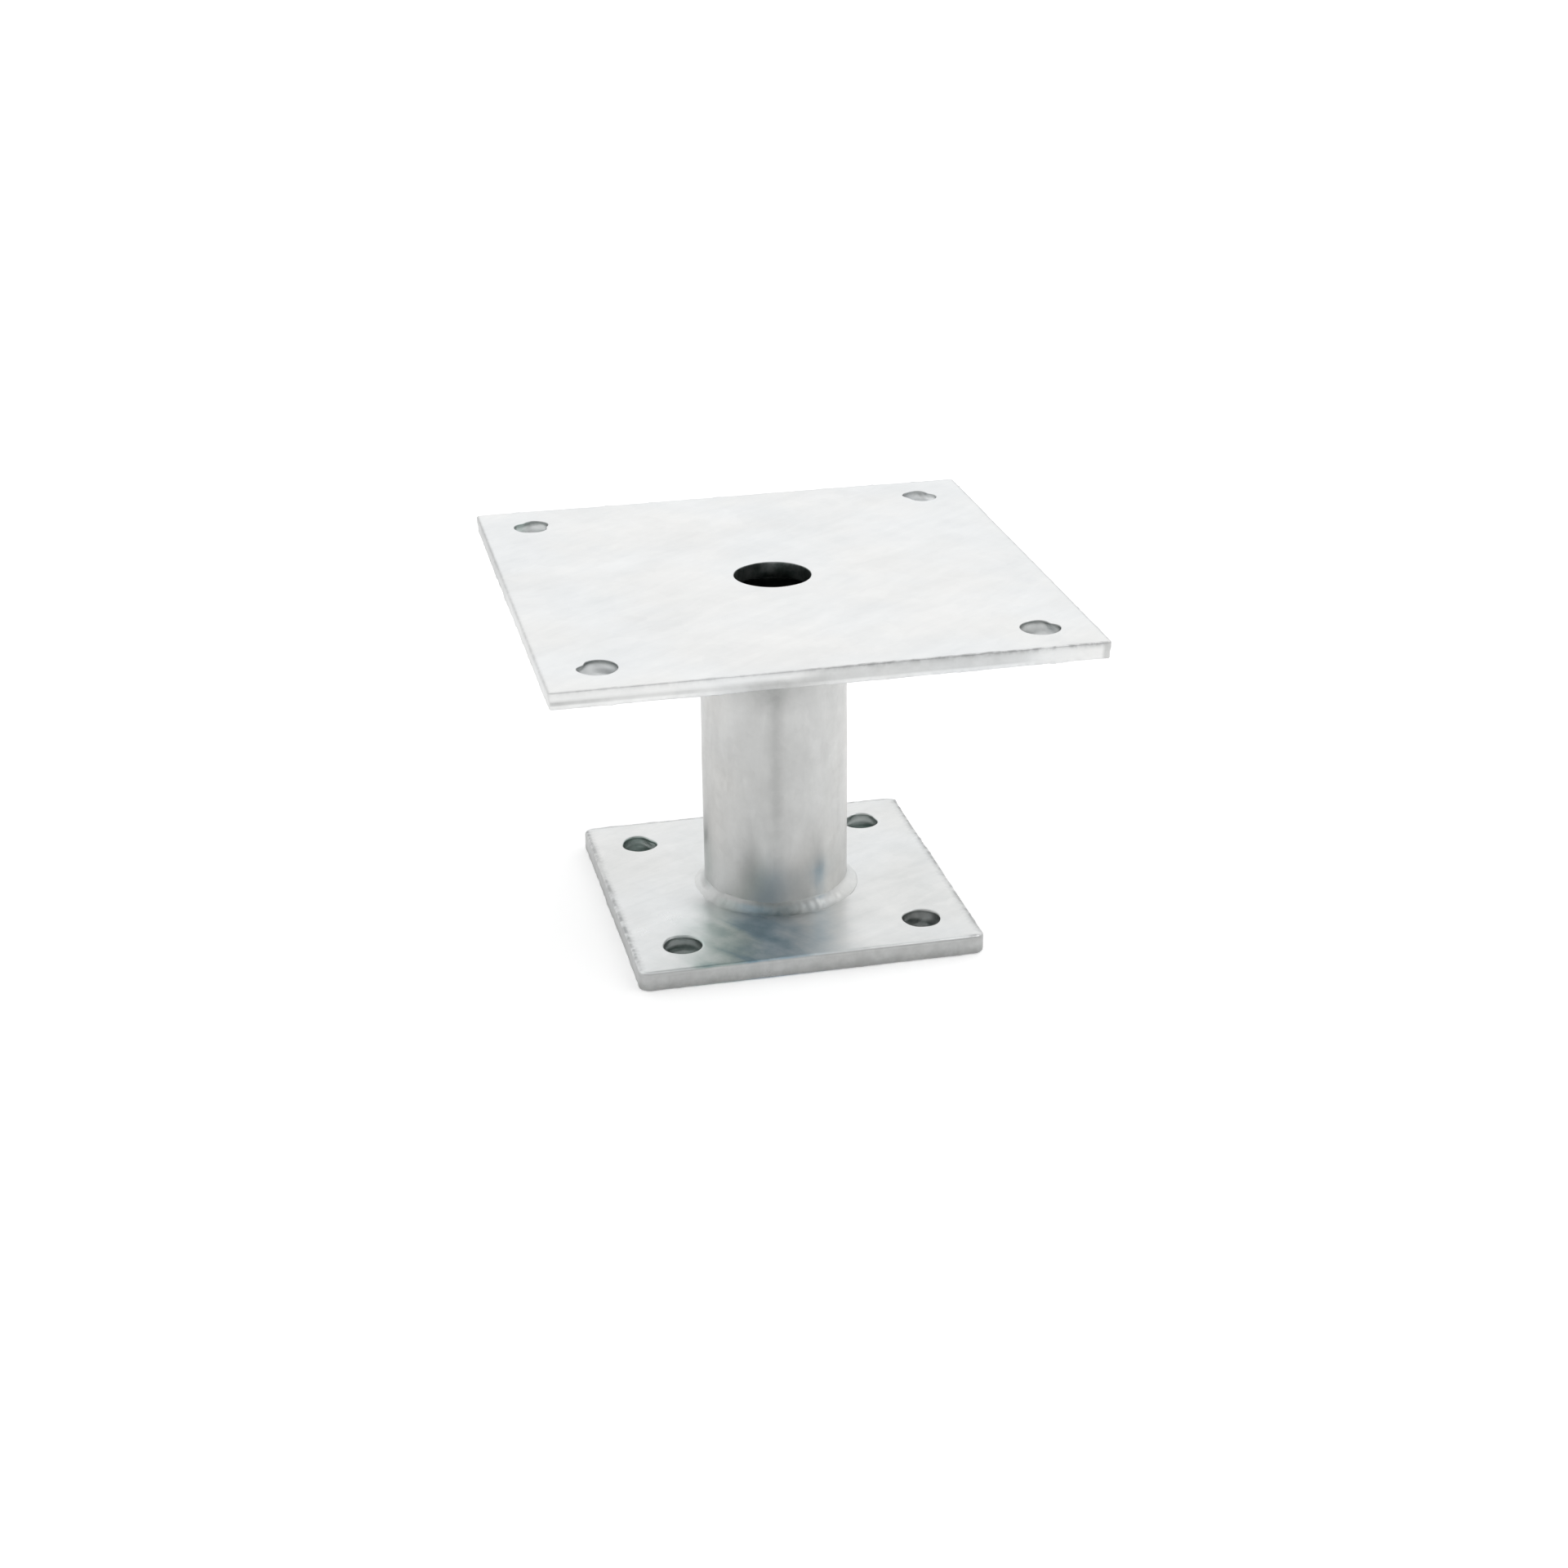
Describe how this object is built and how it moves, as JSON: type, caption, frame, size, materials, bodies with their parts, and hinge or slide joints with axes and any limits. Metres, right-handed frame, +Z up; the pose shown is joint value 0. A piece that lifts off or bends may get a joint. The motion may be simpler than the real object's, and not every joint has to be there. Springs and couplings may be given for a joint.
{
  "type": "post anchor",
  "caption": "Square drilled top plate with a centre hole, on a short round tube welded to a smaller drilled base plate, hot-dip galvanised.",
  "frame": {"origin": "centre of the base plate's underside, on the tube's axis", "axes": "+Z up along the tube towards the top plate, +X and +Y square to the plates' sides"},
  "size_m": [0.15, 0.15, 0.102],
  "materials": {
    "plate_zinc": "hot-dip galvanised, pale and satin, with faint wisps",
    "tube_zinc": "hot-dip galvanised, mid grey and satin, stained blue-green near its foot",
    "base_zinc": "hot-dip galvanised, satin, with flow marks and a blue-green stain in front of the tube",
    "weld_zinc": "hot-dip galvanised weld bead, soft ripples filled with zinc"
  },
  "bodies": {
    "root": {"top_plate": "plate_zinc", "tube": "tube_zinc", "base_plate": "base_zinc", "top_weld": "weld_zinc", "base_weld": "weld_zinc"}
  },
  "joints": []
}
